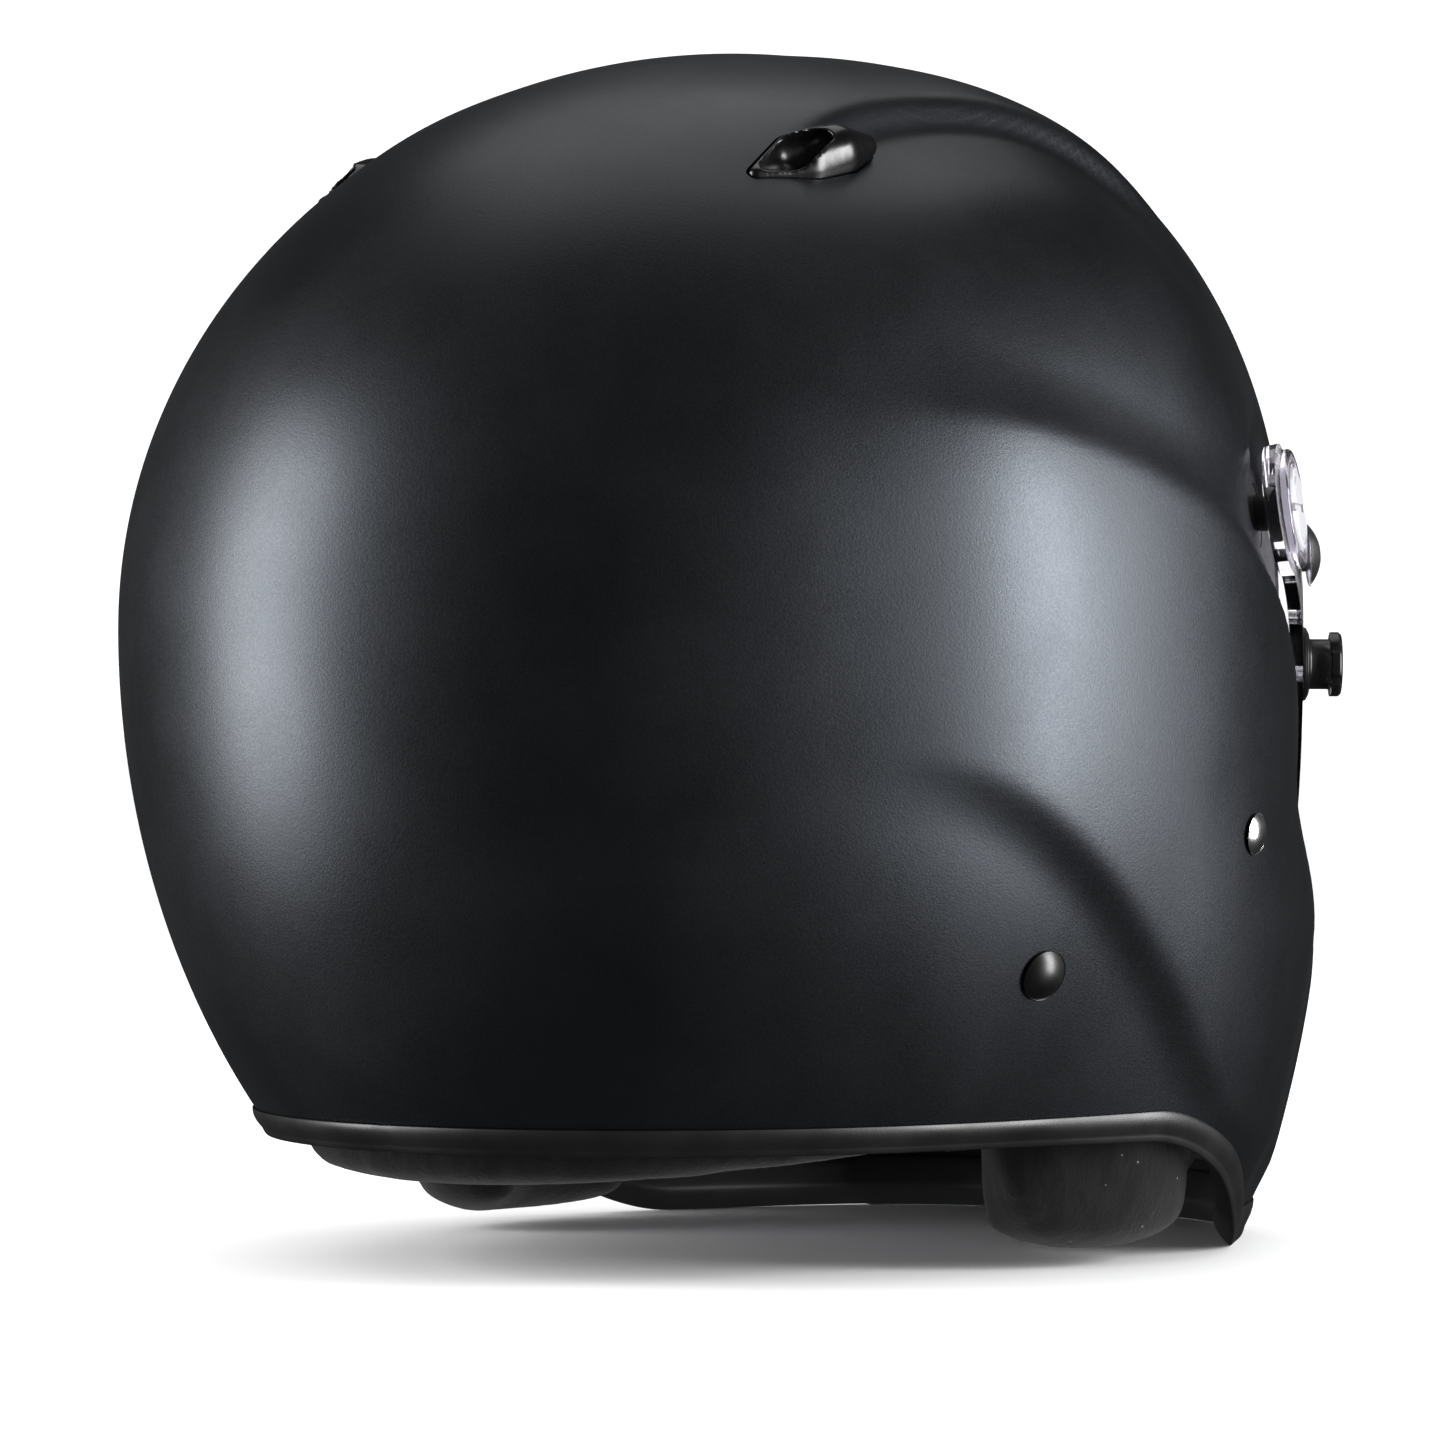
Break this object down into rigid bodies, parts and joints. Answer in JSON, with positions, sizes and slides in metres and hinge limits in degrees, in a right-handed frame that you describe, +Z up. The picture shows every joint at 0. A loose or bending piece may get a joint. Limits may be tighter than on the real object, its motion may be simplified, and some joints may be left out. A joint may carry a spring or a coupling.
{
  "type": "full-face auto-racing helmet",
  "caption": "Full-face motorsport helmet with a hinged clear visor, rear exhaust scoops, crown ribs, padded lining, chin strap and side anchor points.",
  "frame": {"origin": "on the ground under the middle of the helmet's bounding box", "axes": "+Z up, -Y towards the front of the helmet, +X towards the wearer's left"},
  "size_m": [0.258, 0.3108, 0.2717],
  "materials": {
    "shell_coat": "fine textured matte black coat on a composite shell",
    "trim_rubber": "satin dark grey rubber",
    "gasket_rubber": "matte black rubber",
    "foam": "moulded bead foam, black",
    "lining_fabric": "brushed knit, charcoal",
    "pad_fabric": "brushed fleece, black",
    "gloss_black": "gloss black",
    "matte_black": "fine textured black",
    "visor_clear": "clear polycarbonate with a faint violet edge",
    "rim_plastic": "clear polycarbonate, violet-tinted edge",
    "cap_plastic": "milky translucent plastic",
    "chrome_steel": "polished chrome",
    "spacer_metal": "dull grey metal",
    "satin_black": "satin black, machined",
    "zinc_steel": "bright zinc plate",
    "rivet_steel": "polished stainless steel",
    "plug_plastic": "semi-gloss black",
    "webbing": "woven nylon webbing, black",
    "ring_steel": "polished stainless steel"
  },
  "bodies": {
    "helmet": {"shell": "shell_coat", "bottom_trim": "trim_rubber", "eyeport_gasket": "gasket_rubber", "eps_liner": "foam", "chin_foam": "foam", "comfort_liner": "lining_fabric", "neck_roll": "pad_fabric", "cheek_pad_left": "pad_fabric", "cheek_pad_right": "pad_fabric", "rear_vent_left": "gloss_black", "rear_vent_right": "gloss_black", "chin_vent_grille": "matte_black", "pivot_base_left": "matte_black", "pivot_base_right": "matte_black", "strap_rivets": "rivet_steel", "rivet_washers": "zinc_steel", "anchor_inserts": "zinc_steel", "anchor_plugs": "plug_plastic", "strap_long": "webbing", "strap_short": "webbing"},
    "visor_frame": {"visor": "visor_clear", "ear_rim_left": "rim_plastic", "ear_rim_right": "rim_plastic", "pivot_cap_left": "cap_plastic", "pivot_cap_right": "cap_plastic", "visor_screws": "chrome_steel", "visor_spacers": "spacer_metal", "tear_off_posts": "satin_black", "tear_off_washers": "satin_black", "tear_off_screws": "zinc_steel"},
    "ring_outer": {"d_ring_outer": "ring_steel"},
    "ring_inner": {"d_ring_inner": "ring_steel"}
  },
  "joints": [
    {"name": "visor_lift", "type": "hinge", "parent": "helmet", "child": "visor_frame", "pos_m": [0, -0.04891, 0.16651], "axis": [-1, 0, 0], "range_deg": [0, 28]},
    {"name": "ring_outer_swing", "type": "hinge", "parent": "helmet", "child": "ring_outer", "pos_m": [0.059, -0.02121, 0.04861], "axis": [0, 1, 0], "range_deg": [-2, 7]},
    {"name": "ring_inner_swing", "type": "hinge", "parent": "helmet", "child": "ring_inner", "pos_m": [0.0515, -0.02121, 0.04861], "axis": [0, 1, 0], "range_deg": [-2, 60]}
  ]
}
